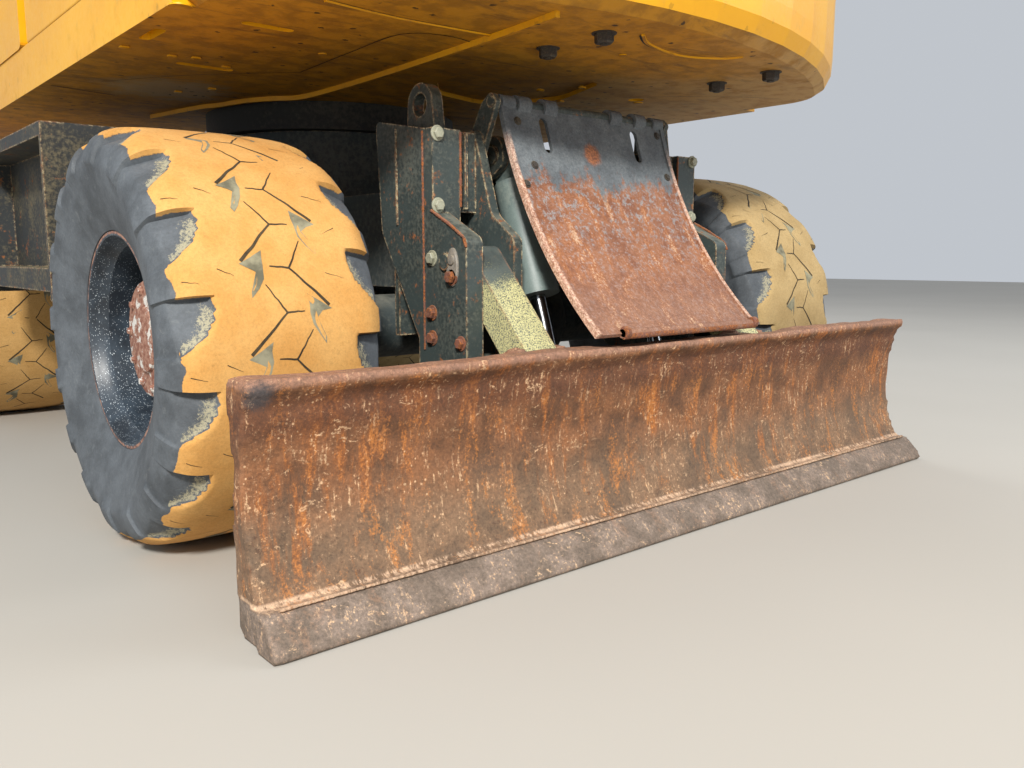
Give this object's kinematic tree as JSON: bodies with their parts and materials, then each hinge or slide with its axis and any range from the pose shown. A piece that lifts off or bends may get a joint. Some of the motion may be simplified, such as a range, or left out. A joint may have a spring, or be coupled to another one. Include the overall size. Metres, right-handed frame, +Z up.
{
  "type": "wheeled excavator",
  "caption": "Wheeled excavator with a dozer blade at one end of its carrier, a slewing upper structure with a cab, and a jointed boom, arm and bucket.",
  "frame": {"origin": "on the ground under the middle of the whole machine as it is parked", "axes": "+Z up, +Y from the dozer blade towards the bucket, +X to the machine's right, with the cab on the -X side"},
  "size_m": [2.8314, 7.786, 3.6905],
  "materials": {
    "carrier_paint": "worn dark grey-green paint, dusty, bolts rusted",
    "dark_steel": "dark grey paint",
    "guard_steel": "grey paint rusted through below",
    "chrome": "hard chrome rod",
    "rim_paint": "dark grey, speckled, rusty flange",
    "tyre": "rubber under dried sandy mud",
    "blade_rust": "heavy brown and orange rust, scratched",
    "link_paint": "grey paint under pale speckled dirt",
    "cylinder_paint": "grey-green paint",
    "yellow_paint": "satin yellow, dusty and chipped underneath",
    "glass": "clear tinted",
    "seat_cloth": "black woven cloth",
    "dark_plastic": "dark moulded plastic",
    "rail_paint": "black powder coat",
    "lamp": "clear lens in a black shell",
    "bucket_steel": "worn bare steel, rust in the corners"
  },
  "bodies": {
    "root": {"chassis_frame": "carrier_paint", "rear_axle": "carrier_paint", "front_axle": "carrier_paint", "drive_line": "carrier_paint", "slew_ring": "dark_steel", "step_box_left": "carrier_paint", "step_box_right": "carrier_paint", "blade_bracket": "carrier_paint"},
    "guard": {"cylinder_guard": "guard_steel"},
    "steer_left": {"knuckle_left": "carrier_paint"},
    "steer_right": {"knuckle_right": "carrier_paint"},
    "steer_rod": {"steering_rod": "chrome"},
    "wheel_rear_left": {"rim_rear_left": "rim_paint", "tyre_rear_left": "tyre"},
    "wheel_rear_right": {"rim_rear_right": "rim_paint", "tyre_rear_right": "tyre"},
    "wheel_front_left": {"rim_front_left": "rim_paint", "tyre_front_left": "tyre"},
    "wheel_front_right": {"rim_front_right": "rim_paint", "tyre_front_right": "tyre"},
    "blade_arms": {"blade_arms": "carrier_paint"},
    "blade": {"blade": "blade_rust"},
    "blade_links": {"blade_links": "link_paint"},
    "blade_barrels": {"blade_barrels": "cylinder_paint"},
    "blade_rods": {"blade_rods": "chrome"},
    "upper": {"upper_frame": "yellow_paint", "counterweight": "yellow_paint", "engine": "dark_steel", "side_panel_left": "yellow_paint", "side_panel_right": "yellow_paint", "tank": "yellow_paint", "cab": "yellow_paint", "cab_glass": "glass", "seat": "seat_cloth", "console": "dark_plastic", "handrails": "rail_paint", "mirrors": "rail_paint", "exhaust": "rail_paint", "lamps": "lamp"},
    "hood_lid": {"hood": "yellow_paint"},
    "door": {"cab_door": "yellow_paint", "door_glass": "glass"},
    "boom": {"boom": "yellow_paint"},
    "boom_barrels": {"boom_barrels": "yellow_paint"},
    "boom_rods": {"boom_rods": "chrome"},
    "arm_barrel": {"arm_barrel": "yellow_paint"},
    "arm_rod": {"arm_rod": "chrome"},
    "arm": {"arm": "yellow_paint"},
    "bucket_barrel": {"bucket_barrel": "yellow_paint"},
    "bucket_rod": {"bucket_rod": "chrome"},
    "rocker": {"bucket_rocker": "dark_steel"},
    "link": {"bucket_link": "dark_steel"},
    "bucket": {"bucket": "bucket_steel"}
  },
  "joints": [
    {"name": "wheel_rear_left", "type": "hinge", "parent": "root", "child": "wheel_rear_left", "pos_m": [-1.1275, -2.91148, 0.575], "axis": [1, 0, 0], "continuous": true},
    {"name": "steer_left", "type": "hinge", "parent": "root", "child": "steer_left", "pos_m": [-0.715, -0.21148, 0.575], "axis": [0, 0, 1], "range_deg": [-35, 35]},
    {"name": "wheel_front_left", "type": "hinge", "parent": "steer_left", "child": "wheel_front_left", "pos_m": [-1.1275, -0.21148, 0.575], "axis": [1, 0, 0], "continuous": true},
    {"name": "wheel_rear_right", "type": "hinge", "parent": "root", "child": "wheel_rear_right", "pos_m": [1.1275, -2.91148, 0.575], "axis": [1, 0, 0], "continuous": true},
    {"name": "steer_right", "type": "hinge", "parent": "root", "child": "steer_right", "pos_m": [0.715, -0.21148, 0.575], "axis": [0, 0, 1], "range_deg": [-35, 35]},
    {"name": "wheel_front_right", "type": "hinge", "parent": "steer_right", "child": "wheel_front_right", "pos_m": [1.1275, -0.21148, 0.575], "axis": [1, 0, 0], "continuous": true},
    {"name": "steer_rod", "type": "slide", "parent": "root", "child": "steer_rod", "axis": [1, 0, 0], "range_m": [-0.11, 0.11]},
    {"name": "blade_lift", "type": "hinge", "parent": "root", "child": "blade_arms", "pos_m": [0, -3.39148, 0.47], "axis": [-1, 0, 0], "range_deg": [-14, 62]},
    {"name": "blade_tilt", "type": "hinge", "parent": "blade_arms", "child": "blade", "pos_m": [0, -3.63905, 0.19504], "axis": [-1, 0, 0], "range_deg": [-62.31, 14.31]},
    {"name": "blade_link", "type": "hinge", "parent": "root", "child": "blade_links", "pos_m": [0, -3.39148, 0.79], "axis": [-1, 0, 0], "range_deg": [-14.31, 62.31]},
    {"name": "guard_swing", "type": "hinge", "parent": "root", "child": "guard", "pos_m": [0, -3.34648, 1.262], "axis": [-1, 0, 0], "range_deg": [-8.59, 37.39]},
    {"name": "blade_cylinder", "type": "hinge", "parent": "root", "child": "blade_barrels", "pos_m": [0, -3.25148, 1.12], "axis": [-1, 0, 0], "range_deg": [-5.07, 22.04]},
    {"name": "blade_rod", "type": "slide", "parent": "blade_barrels", "child": "blade_rods", "axis": [0, -0.3162, -0.9487], "range_m": [-0.256, 0.0665]},
    {"name": "slew", "type": "hinge", "parent": "root", "child": "upper", "pos_m": [0, -1.69148, 1.43], "axis": [0, 0, 1], "continuous": true},
    {"name": "hood_lid", "type": "hinge", "parent": "upper", "child": "hood_lid", "pos_m": [0, -1.94148, 2.36], "axis": [-1, 0, 0], "range_deg": [0, 60]},
    {"name": "cab_door", "type": "hinge", "parent": "upper", "child": "door", "pos_m": [-1.269, -1.06348, 2.3], "axis": [0, 0, 1], "range_deg": [0, 105]},
    {"name": "boom_lift", "type": "hinge", "parent": "upper", "child": "boom", "pos_m": [0, -1.36148, 1.99], "axis": [1, 0, 0], "range_deg": [-52, 48]},
    {"name": "boom_cylinder", "type": "hinge", "parent": "upper", "child": "boom_barrels", "pos_m": [0, -0.96148, 1.6], "axis": [1, 0, 0], "range_deg": [-51.9, 47.94]},
    {"name": "boom_rod", "type": "slide", "parent": "boom_barrels", "child": "boom_rods", "axis": [0, 0.6472, 0.7623], "range_m": [-0.4646, 0.4299]},
    {"name": "arm_swing", "type": "hinge", "parent": "boom", "child": "arm", "pos_m": [0, 3.39939, 3.14936], "axis": [-1, 0, 0], "range_deg": [-95, 25]},
    {"name": "arm_cylinder", "type": "hinge", "parent": "boom", "child": "arm_barrel", "pos_m": [0, 1.30365, 3.51385], "axis": [-1, 0, 0], "range_deg": [-1.72, 0.47]},
    {"name": "arm_rod", "type": "slide", "parent": "arm_barrel", "child": "arm_rod", "axis": [0, 0.9997, 0.0258], "range_m": [-0.7411, 0.2051]},
    {"name": "bucket_curl", "type": "hinge", "parent": "arm", "child": "bucket", "pos_m": [0, 2.77823, 0.83114], "axis": [-1, 0, 0], "range_deg": [-85, 75]},
    {"name": "bucket_rocker", "type": "hinge", "parent": "arm", "child": "rocker", "pos_m": [0, 2.90177, 1.25356], "axis": [-1, 0, 0], "range_deg": [-63.67, 56.24]},
    {"name": "bucket_link", "type": "hinge", "parent": "rocker", "child": "link", "pos_m": [0, 3.39654, 0.99127], "axis": [-1, 0, 0], "range_deg": [-45.33, 51.32]},
    {"name": "bucket_cylinder", "type": "hinge", "parent": "arm", "child": "bucket_barrel", "pos_m": [0, 3.81853, 2.97494], "axis": [-1, 0, 0], "range_deg": [-3.32, 2.93]},
    {"name": "bucket_rod", "type": "slide", "parent": "bucket_barrel", "child": "bucket_rod", "axis": [0, -0.2081, -0.9781], "range_m": [-0.533, 0.4719]}
  ],
  "couplings": [
    {"joint": "steer_right", "follows": "steer_left", "ratio": 1},
    {"joint": "steer_rod", "follows": "steer_left", "m_per_rad": -0.178},
    {"joint": "blade_tilt", "follows": "blade_lift", "ratio": -1},
    {"joint": "blade_link", "follows": "blade_lift", "ratio": 1},
    {"joint": "guard_swing", "follows": "blade_lift", "ratio": 0.6},
    {"joint": "blade_cylinder", "follows": "blade_lift", "ratio": 0.35357},
    {"joint": "blade_rod", "follows": "blade_lift", "m_per_rad": -0.22625},
    {"joint": "boom_cylinder", "follows": "boom_lift", "ratio": 0.99019},
    {"joint": "boom_rod", "follows": "boom_lift", "m_per_rad": 0.49706},
    {"joint": "arm_cylinder", "follows": "arm_swing", "ratio": 0.01787},
    {"joint": "arm_rod", "follows": "arm_swing", "m_per_rad": 0.43871},
    {"joint": "bucket_rocker", "follows": "bucket_curl", "ratio": 0.74337},
    {"joint": "bucket_link", "follows": "bucket_curl", "ratio": -0.59915},
    {"joint": "bucket_cylinder", "follows": "bucket_curl", "ratio": 0.03866},
    {"joint": "bucket_rod", "follows": "bucket_curl", "m_per_rad": 0.34987}
  ]
}
